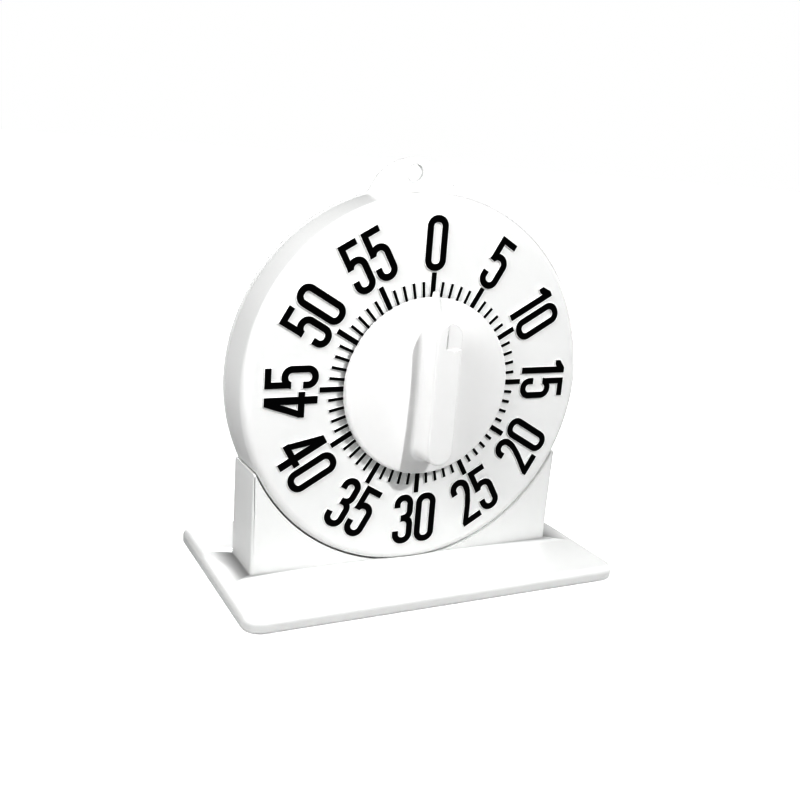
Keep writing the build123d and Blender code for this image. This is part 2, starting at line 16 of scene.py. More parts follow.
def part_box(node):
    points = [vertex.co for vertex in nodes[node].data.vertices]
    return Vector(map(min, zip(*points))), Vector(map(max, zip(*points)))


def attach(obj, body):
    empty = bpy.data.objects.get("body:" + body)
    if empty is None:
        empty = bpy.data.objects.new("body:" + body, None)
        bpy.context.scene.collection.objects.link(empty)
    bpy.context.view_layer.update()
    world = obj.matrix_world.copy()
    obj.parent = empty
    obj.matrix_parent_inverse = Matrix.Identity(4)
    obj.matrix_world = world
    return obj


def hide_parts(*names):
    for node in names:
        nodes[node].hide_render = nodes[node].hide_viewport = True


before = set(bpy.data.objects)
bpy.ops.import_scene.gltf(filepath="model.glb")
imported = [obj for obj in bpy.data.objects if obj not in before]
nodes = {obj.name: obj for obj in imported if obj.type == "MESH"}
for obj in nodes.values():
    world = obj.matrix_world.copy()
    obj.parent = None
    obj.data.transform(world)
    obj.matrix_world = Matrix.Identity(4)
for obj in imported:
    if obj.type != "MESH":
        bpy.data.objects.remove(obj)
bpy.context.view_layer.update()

MM = 0.001

# ------------------------------------------------------------------ shared sizes
arbor_lo, arbor_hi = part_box("main_arbor")
_, marks_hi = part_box("dial_markings")
housing_lo, housing_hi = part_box("front_housing")
knob_lo, knob_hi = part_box("knob")
cover_lo, cover_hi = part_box("rear_cover")
stand_lo, stand_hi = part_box("stand")

AXIS_X = (arbor_lo.x + arbor_hi.x) / 2 / MM
AXIS_Z = (arbor_lo.z + arbor_hi.z) / 2 / MM
DIAL_Y = marks_hi.y / MM

FACE = 0.8                      # depth of the case's front face
EDGE = 4.5                      # rounding of the case's front edge
EDGE_END = FACE + EDGE          # depth where that rounding meets the side
WALL = 2.4                      # thickness of the front face
FLARE = 0.4                     # widening of the case towards its back
CASE_BACK_R = (housing_hi.x - housing_lo.x) / 2 / MM
CASE_R = CASE_BACK_R - FLARE
CASE_DEPTH = housing_hi.y / MM - DIAL_Y
COVER_DEPTH = cover_hi.y / MM - DIAL_Y
PLATE_DEPTH = COVER_DEPTH - 2.2  # front of the cover plate

SCREW_CIRCLE_R = 78.0
SCREW_PLACES = [
    (SCREW_CIRCLE_R * math.cos(angle), SCREW_CIRCLE_R * math.sin(angle))
    for angle in (math.radians(45 + 90 * k) for k in range(4))
]


def at(x, z, depth):
    """Point in the row frame from mm right of and above the dial axis, and a depth."""
    return ((AXIS_X + x) * MM, (DIAL_Y + depth) * MM, (AXIS_Z + z) * MM)


# ------------------------------------------------------------------ outlines, all in mm
def quarter_turn(steps):
    return np.radians(np.linspace(0, 90, steps + 1))


def rounding(radius, steps, end=90):
    """(inset, drop) pairs along a rounded edge, from the flat face to the wall."""
    return [
        (radius * (1 - math.sin(angle)), radius * (1 - math.cos(angle)))
        for angle in np.radians(np.linspace(0, end, steps + 1))
    ]


def circle(radius, count, x=0.0, z=0.0):
    angles = [2 * math.pi * i / count for i in range(count)]
    return [(x + radius * math.sin(a), z + radius * math.cos(a)) for a in angles]


def densify(loop, step):
    """Splits the sides of a closed loop that are at least two steps long."""
    dense = []
    for i, start in enumerate(loop):
        end = loop[(i + 1) % len(loop)]
        parts = max(1, int(math.dist(start, end) / step))
        dense += [
            (
                start[0] + (end[0] - start[0]) * k / parts,
                start[1] + (end[1] - start[1]) * k / parts,
            )
            for k in range(parts)
        ]
    return dense


def unit_rows(vectors):
    return vectors / np.maximum(np.linalg.norm(vectors, axis=1), 1e-9)[:, None]


def offset_loop(points, distance):
    """Moves a closed loop outward, or inward for a negative distance, with mitred corners."""
    points = np.array(points, float)
    ahead = np.roll(points, -1, 0)
    doubled_area = np.sum(points[:, 0] * ahead[:, 1] - ahead[:, 0] * points[:, 1])
    winding = 1.0 if doubled_area > 0 else -1.0
    sides = unit_rows(ahead - points)
    normals = np.stack([sides[:, 1], -sides[:, 0]], 1) * winding
    mitres = unit_rows(normals + np.roll(normals, 1, 0))
    # the lower limit keeps sharp corners from shooting out
    cosines = np.clip(np.sum(mitres * normals, axis=1), 0.5, 1)
    return points + mitres * (distance / cosines)[:, None]


# ------------------------------------------------------------------ mesh building
class Skin:
    """Collects the vertices and faces of one mesh."""

    def __init__(self):
        self.verts = []
        self.faces = []

    def ring(self, points):
        first = len(self.verts)
        self.verts += [tuple(point) for point in points]
        return list(range(first, len(self.verts)))

    def bridge(self, rings):
        """Quads between each ring and the next."""
        for near, far in zip(rings, rings[1:]):
            count = len(near)
            for i in range(count):
                j = (i + 1) % count
                self.faces.append((near[i], near[j], far[j], far[i]))

    def fan(self, loop, centre):
        count = len(loop)
        self.faces += [(loop[i], loop[(i + 1) % count], centre) for i in range(count)]

    def strip_cap(self, loop):
        """Quads across a loop that is mirror-symmetric about its first vertex."""
        count = len(loop)
        for i in range(count // 2):
            corners = (loop[i], loop[i + 1], loop[(count - i - 1) % count],
                       loop[(count - i) % count])
            distinct = tuple(dict.fromkeys(corners))
            if len(distinct) > 2:
                self.faces.append(distinct)

    def flat_cap(self, loops):
        """Triangles over a flat face; loops are (ids, 2-D points), the outer one first."""
        ids = [i for loop_ids, _ in loops for i in loop_ids]
        polygons = [[Vector((x, y, 0)) for x, y in points] for _, points in loops]
        for triangle in tessellate_polygon(polygons):
            self.faces.append(tuple(ids[k] for k in triangle))

    def walls(self, loop, steps, sign):
        """Stacks offset copies of a dial-plane outline: steps are (offset, depth).

        A sign of -1 offsets the other way, for holes. Returns the first and last loops.
        """
        stack = []
        for offset, depth in steps:
            points = offset_loop(loop, sign * offset)
            stack.append((self.ring([at(x, z, depth) for x, z in points]), points))
        self.bridge([ids for ids, _ in stack])
        return stack[0], stack[-1]

    def lathe(self, profile, count, x=0.0, z=0.0, closed=True):
        """Turns (radius, depth) points about an axis parallel to the dial's."""
        rings = []
        for radius, depth in profile:
            outline = circle(radius, count, x, z) if radius > 1e-9 else [(x, z)]
            rings.append(self.ring([at(px, pz, depth) for px, pz in outline]))
        for near, far in zip(rings, rings[1:] + (rings[:1] if closed else [])):
            if len(near) == 1:
                self.fan(far, near[0])
            elif len(far) == 1:
                self.fan(near, far[0])
            else:
                self.bridge([near, far])


def weld(mesh, merge, degenerate):
    """Merges close vertices, drops collapsed edges and turns the normals outward."""
    work = bmesh.new()
    work.from_mesh(mesh)
    bmesh.ops.remove_doubles(work, verts=work.verts, dist=merge)
    bmesh.ops.dissolve_degenerate(work, edges=work.edges, dist=degenerate)
    bmesh.ops.recalc_face_normals(work, faces=work.faces)
    work.to_mesh(mesh)
    work.free()


def dress(ob, finish, body=None, sharp=38.0, weighted=True):
    """Sets material and shading; with a body, also tells the frame what the piece rides."""
    mesh = ob.data
    mesh.materials.clear()
    mesh.materials.append(MATERIALS[finish])
    mesh.polygons.foreach_set("use_smooth", [True] * len(mesh.polygons))
    mesh.set_sharp_from_angle(angle=math.radians(sharp))
    if weighted:
        normals = ob.modifiers.new("flat_faces", "WEIGHTED_NORMAL")
        normals.keep_sharp = True
        normals.weight = 60
    if body:
        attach(ob, body)


def make_object(name, skin, finish, **dressing):
    mesh = bpy.data.meshes.new(name)
    mesh.from_pydata(skin.verts, [], skin.faces)
    weld(mesh, merge=1e-7, degenerate=1e-8)
    ob = bpy.data.objects.new(name, mesh)
    bpy.context.scene.collection.objects.link(ob)
    dress(ob, finish, **dressing)
    return ob


def combine(ob, other, operation):
    """Boolean of two closed meshes, applied; the second object is removed."""
    cut = ob.modifiers.new("cut", "BOOLEAN")
    cut.operation = operation
    cut.object = other
    cut.solver = "EXACT"
    bpy.context.view_layer.update()
    depsgraph = bpy.context.evaluated_depsgraph_get()
    combined = bpy.data.meshes.new_from_object(ob.evaluated_get(depsgraph))
    ob.modifiers.clear()
    old = ob.data
    ob.data = combined
    bpy.data.meshes.remove(old)
    bpy.data.objects.remove(other)


def finish_combined(ob, finish, body):
    """Welds what the booleans left within a couple of microns and dresses the result."""
    weld(ob.data, merge=2e-6, degenerate=2e-6)
    dress(ob, finish, body, sharp=33.0)


def stacked_body(name, levels, place, finish):
    """Closed body through (loop, level) pairs, flat at both ends.

    place turns a loop point and its level into a point in the row frame.
    """
    skin = Skin()
    rings = [skin.ring([place(x, y, level) for x, y in loop]) for loop, level in levels]
    skin.bridge(rings)
    for end in (0, -1):
        skin.flat_cap([(rings[end], levels[end][0])])
    return make_object(name, skin, finish)


# ------------------------------------------------------------------ materials
class Graph:
    """Short calls for a node tree; an input may be a number, a colour, a vector or a socket."""

    def __init__(self, owner):
        owner.use_nodes = True
        self.tree = owner.node_tree
        self.tree.nodes.clear()

    def node(self, kind, inputs=None, **settings):
        node = self.tree.nodes.new(kind)
        for key, value in settings.items():
            setattr(node, key, value)
        for key, value in (inputs or {}).items():
            socket = node.inputs[key]
            if isinstance(value, bpy.types.NodeSocket):
                self.tree.links.new(value, socket)
            elif socket.type == "RGBA":
                socket.default_value = (*value, 1.0)
            else:
                socket.default_value = value
        return node

    def noise(self, scale, detail=3.0, roughness=0.5, vector=None):
        inputs = {"Scale": scale, "Detail": detail, "Roughness": roughness,
                  "Vector": vector or self.coord}
        return self.node("ShaderNodeTexNoise", inputs).outputs["Fac"]

    def mapped(self, **inputs):
        """The object coordinates, stretched or turned."""
        inputs = {"Vector": self.coord, **inputs}
        return self.node("ShaderNodeMapping", inputs).outputs["Vector"]

    def remap(self, value, to, source=(0.0, 1.0)):
        inputs = {"From Min": source[0], "From Max": source[1],
                  "To Min": to[0], "To Max": to[1], "Value": value}
        return self.node("ShaderNodeMapRange", inputs).outputs["Result"]

    def mix(self, factor, first, second):
        """Colour blend; sockets 6 and 7 are the colour inputs."""
        inputs = {"Factor": factor, 6: first, 7: second}
        return self.node("ShaderNodeMix", inputs, data_type="RGBA").outputs[2]

    def math(self, operation, first, second, clamp=False):
        inputs = {0: first, 1: second}
        node = self.node("ShaderNodeMath", inputs, operation=operation, use_clamp=clamp)
        return node.outputs[0]

    def times(self, value, by, clamp=False):
        return self.math("MULTIPLY", value, by, clamp)

    def bump(self, height, strength, distance, **below):
        inputs = {"Strength": strength, "Distance": distance, "Height": height, **below}
        return self.node("ShaderNodeBump", inputs).outputs["Normal"]

    def edge_mask(self, radius, gain=6.0):
        """1 where the surface turns within a small radius, 0 on flats."""
        bevel = self.node("ShaderNodeBevel", {"Radius": radius}, samples=3)
        geometry = self.node("ShaderNodeNewGeometry")
        inputs = {0: bevel.outputs["Normal"], 1: geometry.outputs["Normal"]}
        dot = self.node("ShaderNodeVectorMath", inputs, operation="DOT_PRODUCT")
        turned = self.math("SUBTRACT", 1.0, dot.outputs["Value"])
        return self.times(turned, by=gain, clamp=True)

    def surface(self, inputs):
        shader = self.node("ShaderNodeBsdfPrincipled", inputs)
        self.node("ShaderNodeOutputMaterial", {"Surface": shader.outputs["BSDF"]})


def new_material(name):
    material = bpy.data.materials.new(name)
    graph = Graph(material)
    graph.coord = graph.node("ShaderNodeTexCoord").outputs["Object"]
    return material, graph


def shade(colour, factor):
    return tuple(factor * part for part in colour)


def plastic(name, base, dark, rough, bump=0.02, coat=0.30, coat_rough=0.16):
    """Glossy moulded plastic: faint clouds, hairline scuffs, and painted shade that greys the
    rounded edges.
    """
    material, graph = new_material(name)
    cloud = graph.noise(scale=14.0, detail=2.0)
    grain = graph.noise(scale=900.0, roughness=0.6)
    wave = graph.noise(scale=45.0, detail=2.0)
    streaks = graph.mapped(Scale=(260.0, 260.0, 24.0), Rotation=(0.3, 0.7, 0.5))
    scuff = graph.noise(scale=1.0, detail=4.0, roughness=0.7, vector=streaks)
    edge = graph.edge_mask(radius=0.0009)

    clouding = graph.remap(cloud, to=(0.25, 0.75), source=(0.3, 0.7))
    colour = graph.mix(clouding, dark, base)
    scuffing = graph.remap(scuff, to=(0.0, 0.05), source=(0.55, 0.95))
    colour = graph.mix(scuffing, colour, shade(dark, factor=0.93))
    # painted shade: the rounded edges are pulled towards 0.74 of the base colour, a grey line
    # standing in for the shading of the edge rounding
    colour = graph.mix(graph.times(edge, by=0.5), colour, shade(base, factor=0.74))

    waviness = graph.remap(wave, to=(rough - 0.012, rough + 0.015), source=(0.2, 0.8))
    scratches = graph.remap(scuff, to=(0.0, 0.03), source=(0.5, 0.95))
    roughness = graph.math("ADD", waviness, scratches)
    polish = graph.times(edge, by=0.05)
    roughness = graph.math("SUBTRACT", roughness, polish, clamp=True)

    fine = graph.bump(grain, strength=bump, distance=0.00012)
    graph.surface({
        "Base Color": colour,
        "Roughness": roughness,
        "Normal": graph.bump(wave, strength=bump * 0.5, distance=0.0006, Normal=fine),
        "IOR": 1.53,
        "Coat Weight": coat,
        "Coat Roughness": coat_rough,
        "Coat IOR": 1.45,
    })
    return material


def foil(name):
    """Dense black print on the raised numerals, with a few pinholes and worn rims."""
    pinhole_size = 0.035    # share of a cell's distance field that is bare
    pinhole_patches = 0.62  # noise level above which pinholes appear
    material, graph = new_material(name)
    mottle = graph.noise(scale=320.0, detail=4.0, roughness=0.6)
    cells = graph.node("ShaderNodeTexVoronoi", {"Scale": 260.0, "Vector": graph.coord})
    pinholes = graph.math("LESS_THAN", cells.outputs["Distance"], pinhole_size)
    patches = graph.math("GREATER_THAN", graph.noise(scale=90.0, detail=1.0), pinhole_patches)
    pinholes = graph.times(pinholes, by=patches)
    edge = graph.edge_mask(radius=0.00018, gain=3.0)
    scratches = graph.noise(scale=700.0, roughness=0.7)
    scratches = graph.remap(scratches, to=(0.0, 0.5), source=(0.55, 0.75))
    wear = graph.times(edge, by=scratches, clamp=True)

    colour = graph.mix(mottle, (0.0020, 0.0020, 0.0022), (0.0045, 0.0045, 0.0048))
    bare = graph.math("MAXIMUM", graph.times(pinholes, by=0.55), wear)
    graph.surface({
        "Base Color": graph.mix(bare, colour, (0.30, 0.30, 0.30)),
        "Roughness": graph.remap(mottle, to=(0.34, 0.52), source=(0.3, 0.7)),
        "Normal": graph.bump(mottle, strength=0.08, distance=0.00006),
        "Specular IOR Level": 0.12,
    })
    return material


def rubber(name):
    """Dull black rubber with dust and paler edges."""
    material, graph = new_material(name)
    dust = graph.noise(scale=160.0, detail=5.0, roughness=0.65)
    grain = graph.noise(scale=1400.0, roughness=0.7)
    edge = graph.edge_mask(radius=0.0006)
    dusting = graph.remap(dust, to=(0.0, 1.0), source=(0.4, 0.7))
    colour = graph.mix(dusting, (0.030, 0.030, 0.031), (0.062, 0.061, 0.058))
    graph.surface({
        "Base Color": graph.mix(graph.times(edge, by=0.35), colour, (0.13, 0.128, 0.12)),
        "Roughness": graph.remap(dust, to=(0.62, 0.85)),
        "Normal": graph.bump(grain, strength=0.25, distance=0.0001),
    })
    return material


def metal(name, base, tarnish, rough, brush=(60.0, 60.0, 900.0), tarnish_amount=0.5):
    """Brushed metal: soft patches of tarnish, brighter worn edges, small pits."""
    material, graph = new_material(name)
    brushed = graph.mapped(Scale=brush)
    lines = graph.noise(scale=1.0, detail=5.0, roughness=0.7, vector=brushed)
    patch = graph.noise(scale=70.0, detail=4.0, roughness=0.6)
    pits = graph.noise(scale=1500.0, detail=2.0, roughness=0.6)
    edge = graph.edge_mask(radius=0.00025)

    patches = graph.remap(patch, to=(0.0, 1.0), source=(0.45, 0.72))
    tarnished = graph.times(patches, by=tarnish_amount, clamp=True)
    colour = graph.mix(tarnished, base, tarnish)
    grooves = graph.remap(lines, to=(0.0, 0.22), source=(0.35, 0.75))
    colour = graph.mix(grooves, colour, shade(base, factor=0.72))
    colour = graph.mix(graph.times(edge, by=0.6), colour, shade(base, factor=1.12))

    brushing = graph.remap(lines, to=(rough - 0.06, rough + 0.10), source=(0.3, 0.7))
    roughness = graph.math("ADD", brushing, graph.times(tarnished, by=0.22))
    polish = graph.times(edge, by=0.08)
    roughness = graph.math("SUBTRACT", roughness, polish, clamp=True)

    height = graph.math("ADD", graph.times(lines, by=0.7), graph.times(pits, by=0.3))
    graph.surface({
        "Metallic": 1.0,
        "Base Color": colour,
        "Roughness": roughness,
        "Normal": graph.bump(height, strength=0.12, distance=0.00005),
    })
    return material


def floor_material():
    """White floor that glows for the camera and is greyer to all other rays."""
    material, graph = new_material("floor_white")
    seen = graph.node("ShaderNodeLightPath").outputs["Is Camera Ray"]
    clouds = graph.noise(scale=3.0, detail=2.0)
    tone = graph.mix(clouds, (0.90, 0.90, 0.90), (0.915, 0.915, 0.912))
    graph.surface({
        "Base Color": graph.mix(seen, (0.55, 0.55, 0.55), tone),
        "Roughness": 0.85,
        "Specular IOR Level": 0.1,
        "Emission Color": (1, 1, 1),
        "Emission Strength": graph.times(seen, by=0.70),
    })
    return material


# keyed by the slot names of the CAD pieces
MATERIALS = {
    "white_case": plastic(
        "case_white", base=(0.90, 0.902, 0.898), dark=(0.880, 0.883, 0.879), rough=0.30),
    "white_knob": plastic(
        "knob_white", base=(0.905, 0.905, 0.902), dark=(0.885, 0.885, 0.882), rough=0.32),
    "white_stand": plastic(
        "stand_white", base=(0.895, 0.898, 0.893), dark=(0.872, 0.876, 0.871), rough=0.40,
        coat=0.15, coat_rough=0.32),
    "white_cover": plastic(
        "cover_white", base=(0.885, 0.888, 0.883), dark=(0.862, 0.866, 0.861), rough=0.38,
        bump=0.05, coat=0.12, coat_rough=0.25),
    "black_foil": foil("ink_black"),
    "rubber": rubber("foot_rubber"),
    "zinc": metal(
        "zinc_plate", base=(0.62, 0.63, 0.65), tarnish=(0.43, 0.43, 0.42), rough=0.30),
    "steel": metal(
        "bright_steel", base=(0.60, 0.60, 0.60), tarnish=(0.38, 0.36, 0.34), rough=0.24,
        brush=(900.0, 60.0, 900.0)),
    "spring_steel": metal(
        "blued_spring", base=(0.24, 0.26, 0.32), tarnish=(0.20, 0.16, 0.14), rough=0.28,
        brush=(60.0, 900.0, 60.0)),
    "brass": metal(
        "clock_brass", base=(0.80, 0.60, 0.27), tarnish=(0.50, 0.35, 0.16), rough=0.26),
    "gong_chrome": metal(
        "gong_nickel", base=(0.74, 0.73, 0.70), tarnish=(0.52, 0.50, 0.46), rough=0.16,
        brush=(40.0, 700.0, 40.0), tarnish_amount=0.35),
}


def dress_cad_nodes():
    """Gives every CAD piece the material named by its slots."""
    for ob in nodes.values():
        for slot in ob.material_slots:
            slot.material = MATERIALS[slot.material.name.split(".")[0]]


# ------------------------------------------------------------------ case: turned front housing
ARBOR_HOLE_R = 5.2
INNER_R = 86.6          # inside of the side wall, towards the front
INNER_ROUND = 2.6       # rounding inside, between face and side wall
FLAT_RADII = (12.0, 26.0, 40.0, 48.0, 56.0, 64.0, 72.0, 79.0)
FLARE_STEPS = 5
BOSSES = [  # x, z, outer radius, depth of the end, bore radius
    (-33.0, -8.0, 3.6, 6.0, 1.27),
    (31.0, -8.0, 3.6, 6.0, 1.27),
    (10.0, -38.5, 3.6, 6.0, 1.27),
    (-16.0, 22.0, 3.6, 6.0, 1.27),
    *[(x, z, 4.2, CASE_DEPTH - 0.2, 1.52) for x, z in SCREW_PLACES],
    (4.0, 56.0, 4.5, 8.0, 1.27),
]


def build_housing():
    inside = FACE + WALL
    profile = [(ARBOR_HOLE_R, FACE + 0.25), (ARBOR_HOLE_R + 0.25, FACE)]
    profile += [(radius, FACE) for radius in FLAT_RADII]
    profile += [(CASE_R - inset, FACE + drop) for inset, drop in rounding(EDGE, 14)]
    side = CASE_DEPTH - 0.35 - EDGE_END
    profile += [
        (CASE_R + FLARE * k / FLARE_STEPS, EDGE_END + side * k / FLARE_STEPS)
        for k in range(1, FLARE_STEPS + 1)
    ]
    # back rim, then forward again along the inside
    profile += [
        (CASE_BACK_R - 0.1, CASE_DEPTH - 0.1),
        (CASE_BACK_R - 0.35, CASE_DEPTH),
        (87.45, CASE_DEPTH),
        (87.2, CASE_DEPTH - 0.25),
        (INNER_R, EDGE_END + 1.2),
    ]
    profile += [
        (INNER_R - inset, inside + drop) for inset, drop in rounding(INNER_ROUND, 6)[-2::-1]
    ]
    profile += [(radius, inside) for radius in (60.0, 30.0, 6.0)]
    profile += [(ARBOR_HOLE_R, inside - 0.3)]
    skin = Skin()
    skin.lathe(profile, 288)

    root = inside - 0.2  # the bosses start a little inside the face
    for x, z, radius, end, bore in BOSSES:
        boss = [(bore, end - 0.3), (bore + 0.3, end), (radius - 0.3, end),
                (radius, end - 0.3), (radius, root), (bore, root)]
        skin.lathe(boss, 40, x, z)
    housing = make_object("case_front", skin, "white_case", body="case")
    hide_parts("front_housing")


# ------------------------------------------------------------------ back cover
COVER_R = (cover_hi.x - cover_lo.x) / 2 / MM
TAB_Z = 78.6                                  # centre of the hanging tab's round end
TAB_R = cover_hi.z / MM - AXIS_Z - TAB_Z
NECK_R = 5.0                                  # hollow rounding between disc and tab
HANG_Z, HANG_R = 96.7, 3.87
SLOT_PITCH, SLOT_MIDDLE_X, SLOT_Z = 7.0, 4, 30.0
SLOT_HALF_WIDTH, SLOT_HALF_STRAIGHT = 1.3, 11.7
HANG_LIP = [  # inset from the hole's wall (negative is outside it), depth
    (-0.95, PLATE_DEPTH), (-0.88, PLATE_DEPTH - 0.28), (-0.75, PLATE_DEPTH - 0.38),
    (-0.25, PLATE_DEPTH - 0.38), (-0.08, PLATE_DEPTH - 0.30), (0.0, PLATE_DEPTH - 0.12),
    (0.0, COVER_DEPTH - 0.5), (-0.15, COVER_DEPTH - 0.15), (-0.5, COVER_DEPTH),
]
SEAT_R = 1.0
SCREW_SEAT = [  # offset from SEAT_R, depth
    (0.9, PLATE_DEPTH), (0.8, PLATE_DEPTH + 0.1), (0.8, COVER_DEPTH - 1.3),
    (2.55, COVER_DEPTH - 1.3), (2.7, COVER_DEPTH - 1.15), (2.7, COVER_DEPTH - 0.25),
    (2.95, COVER_DEPTH),
]
COVER_RIM = [  # radius, depth
    (85.0, CASE_DEPTH - 2.0), (85.2, CASE_DEPTH - 2.2), (86.7, CASE_DEPTH - 2.2),
    (86.9, CASE_DEPTH - 2.0), (86.9, CASE_DEPTH + 0.1),
    (CASE_BACK_R - 0.35, CASE_DEPTH + 0.1), (CASE_BACK_R - 0.1, CASE_DEPTH + 0.2),
    (CASE_BACK_R, CASE_DEPTH + 0.45), (CASE_BACK_R, PLATE_DEPTH + 0.3),
    (85.0, PLATE_DEPTH + 0.3),
]


def cover_outline():
    """Disc with the tab on top, clockwise from the tab's top; angles are from +z."""
    reach = COVER_R + NECK_R
    neck_z = (reach ** 2 - (TAB_R + NECK_R) ** 2 + TAB_Z ** 2) / (2 * TAB_Z)
    neck_x = math.sqrt(reach ** 2 - neck_z ** 2)
    tab_end = math.atan2(neck_x, neck_z - TAB_Z)
    disc_start = math.atan2(neck_x, neck_z)
    half = [
        (TAB_R * math.sin(angle), TAB_Z + TAB_R * math.cos(angle))
        for angle in np.linspace(0, tab_end, 40)
    ]
    half += [
        (neck_x - NECK_R * math.sin(angle), neck_z - NECK_R * math.cos(angle))
        for angle in np.linspace(tab_end, disc_start, 12)[1:-1]
    ]
    half += [
        (COVER_R * math.sin(angle), COVER_R * math.cos(angle))
        for angle in np.linspace(disc_start, math.pi, 150)
    ]
    return half + [(-x, z) for x, z in half[1:-1]][::-1]


def slot_outline(x):
    """Upright slot with round ends."""
    return [
        (x + side * SLOT_HALF_WIDTH * math.cos(angle),
         SLOT_Z + side * SLOT_HALF_STRAIGHT + side * SLOT_HALF_WIDTH * math.sin(angle))
        for side in (1, -1)
        for angle in np.linspace(0, math.pi, 10)
    ]


def plate_edge(front_radius, back_radius, steps):
    """(offset, depth) down the plate's edge, rounded at front and back."""
    front = [(-inset, PLATE_DEPTH + drop) for inset, drop in rounding(front_radius, steps)]
    back = [(-drop, COVER_DEPTH - inset) for inset, drop in rounding(back_radius, steps)]
    return front + back


def build_back_cover():
    skin = Skin()
    edges = [skin.walls(cover_outline(), plate_edge(0.55, 0.7, 4), 1.0)]
    edges.append(skin.walls(circle(HANG_R, 64, 0.0, HANG_Z), HANG_LIP, -1.0))
    for i in range(-3, 4):
        slot = slot_outline(SLOT_MIDDLE_X + SLOT_PITCH * i)
        edges.append(skin.walls(slot, plate_edge(0.2, 0.35, 3), -1.0))
    for x, z in SCREW_PLACES:
        edges.append(skin.walls(circle(SEAT_R, 48, x, z), SCREW_SEAT, 1.0))
    skin.flat_cap([front for front, _ in edges])
    skin.flat_cap([back for _, back in edges])
    cover = make_object("back_cover", skin, "white_cover")

    rim = Skin()
    rim.lathe(COVER_RIM, 288)
    combine(cover, make_object("cover_rim", rim, "white_cover"), "UNION")
    finish_combined(cover, "white_cover", "case")
    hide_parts("rear_cover")


# ------------------------------------------------------------------ numerals and ticks
RIM = 0.32              # white margin around the print
BOLD = 0.10             # growth of the print beyond the CAD outline
SIDE_STEP = 3.0         # spacing of points along straight sides
RELIEF_STEPS = [        # offset, depth: cove at the foot, drafted wall, rounded shoulder
    (RIM + 0.16, FACE + 0.15), (RIM + 0.16, FACE - 0.02), (RIM + 0.06, FACE - 0.12),
    (RIM + 0.01, 0.16), (RIM - 0.03, 0.06), (RIM - 0.12, 0.0),
]
PRINT_STEPS = [         # offset, depth: film with a softened rim
    (BOLD, 0.03), (BOLD, -0.05), (BOLD - 0.03, -0.09), (BOLD - 0.09, -0.11),
]


def take_patch(left):
    """Removes one connected patch of faces from the set and returns it."""
    seed = left.pop()
    stack = [seed]
    patch = [seed]
    while stack:
        face = stack.pop()
        for edge in face.edges:
            for other in edge.link_faces:
                if other in left:
                    left.remove(other)
                    patch.append(other)
                    stack.append(other)
    return set(patch)


def boundary_loops(patch):
    """The patch's closed outlines in mm from the dial axis, largest first."""
    following = {}
    for face in patch:
        for corner in face.loops:
            if sum(1 for other in corner.edge.link_faces if other in patch) == 1:
                following.setdefault(corner.vert, corner.link_loop_next.vert)
    loops = []
    while following:
        vert = next(iter(following))
        points = []
        while vert in following:
            points.append((vert.co.x / MM - AXIS_X, vert.co.z / MM - AXIS_Z))
            vert = following.pop(vert)
        kept = [p for i, p in enumerate(points) if math.dist(p, points[i - 1]) > 0.02]
        if len(kept) > 2:
            loops.append(kept)
    loops.sort(key=loop_area, reverse=True)
    return loops


def loop_area(loop):
    return abs(sum(
        loop[i - 1][0] * loop[i][1] - loop[i][0] * loop[i - 1][1] for i in range(len(loop))
    )) / 2


def printed_outlines():
    """Outlines of the CAD's printed faces, one list of loops per mark."""
    work = bmesh.new()
    work.from_mesh(nodes["dial_markings"].data)
    bmesh.ops.remove_doubles(work, verts=work.verts, dist=2e-7)
    front_y = min(vert.co.y for vert in work.verts)
    left = set([
        face for face in work.faces
        if all(abs(vert.co.y - front_y) < 5e-6 for vert in face.verts)
    ])
    groups = []
    while left:
        groups.append(boundary_loops(take_patch(left)))
    work.free()
    return groups


def add_relief(skin, loops, steps):
    edges = [
        skin.walls(loop, steps, 1.0 if k == 0 else -1.0) for k, loop in enumerate(loops)
    ]
    skin.flat_cap([top for _, top in edges])
    skin.flat_cap([foot for foot, _ in edges])


def build_numerals():
    white = Skin()
    ink = Skin()
    for loops in printed_outlines():
        dense = [densify(loop, SIDE_STEP) for loop in loops]
        add_relief(white, dense, RELIEF_STEPS)
        add_relief(ink, dense, PRINT_STEPS)
    relief = make_object("numeral_relief", white, "white_case", body="case", sharp=30.0)
    film = make_object("numeral_print", ink, "black_foil", body="case", sharp=30.0)
    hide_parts("front_housing")
    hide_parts("dial_markings")


# ------------------------------------------------------------------ knob
# heights are measured forward from the numeral plane
KNOB_COUNT = 288                                # points in every ring
KNOB_R = (knob_hi.x - knob_lo.x) / 2 / MM
RIM_ROUND = 1.7
DOME_RIM_R, DOME_RIM_HEIGHT = KNOB_R - RIM_ROUND, 5.0
DOME_MID_R, DOME_MID_HEIGHT = 22.0, 6.85
SHELL = 2.0                                     # thickness under the dome

GRIP_TOP = DIAL_Y - knob_lo.y / MM
BAR_HALF_WIDTH, BAR_HALF_LENGTH = 7.7, 34.6     # at BAR_FOOT
BAR_FOOT = 4.0
DRAFT = math.tan(math.radians(4.0))
TOP_HALF_WIDTH = BAR_HALF_WIDTH - (GRIP_TOP - BAR_FOOT) * DRAFT
TOP_HALF_LENGTH = BAR_HALF_LENGTH - (GRIP_TOP - BAR_FOOT) * DRAFT
TOP_ROUND = 1.05
FILLET = 2.0                                    # where the bar meets the dome

# sphere on the dial axis through the dome's rim and its middle point: centre and radius
DOME_CENTRE = (
    (DOME_RIM_R ** 2 + DOME_RIM_HEIGHT ** 2 - DOME_MID_R ** 2 - DOME_MID_HEIGHT ** 2)
    / (2 * (DOME_RIM_HEIGHT - DOME_MID_HEIGHT))
)
DOME_SPHERE_R = math.hypot(DOME_MID_R, DOME_MID_HEIGHT - DOME_CENTRE)


def dome(radius):
    """Height of the dome at a distance from the axis."""
    return DOME_CENTRE + math.sqrt(DOME_SPHERE_R ** 2 - radius ** 2)


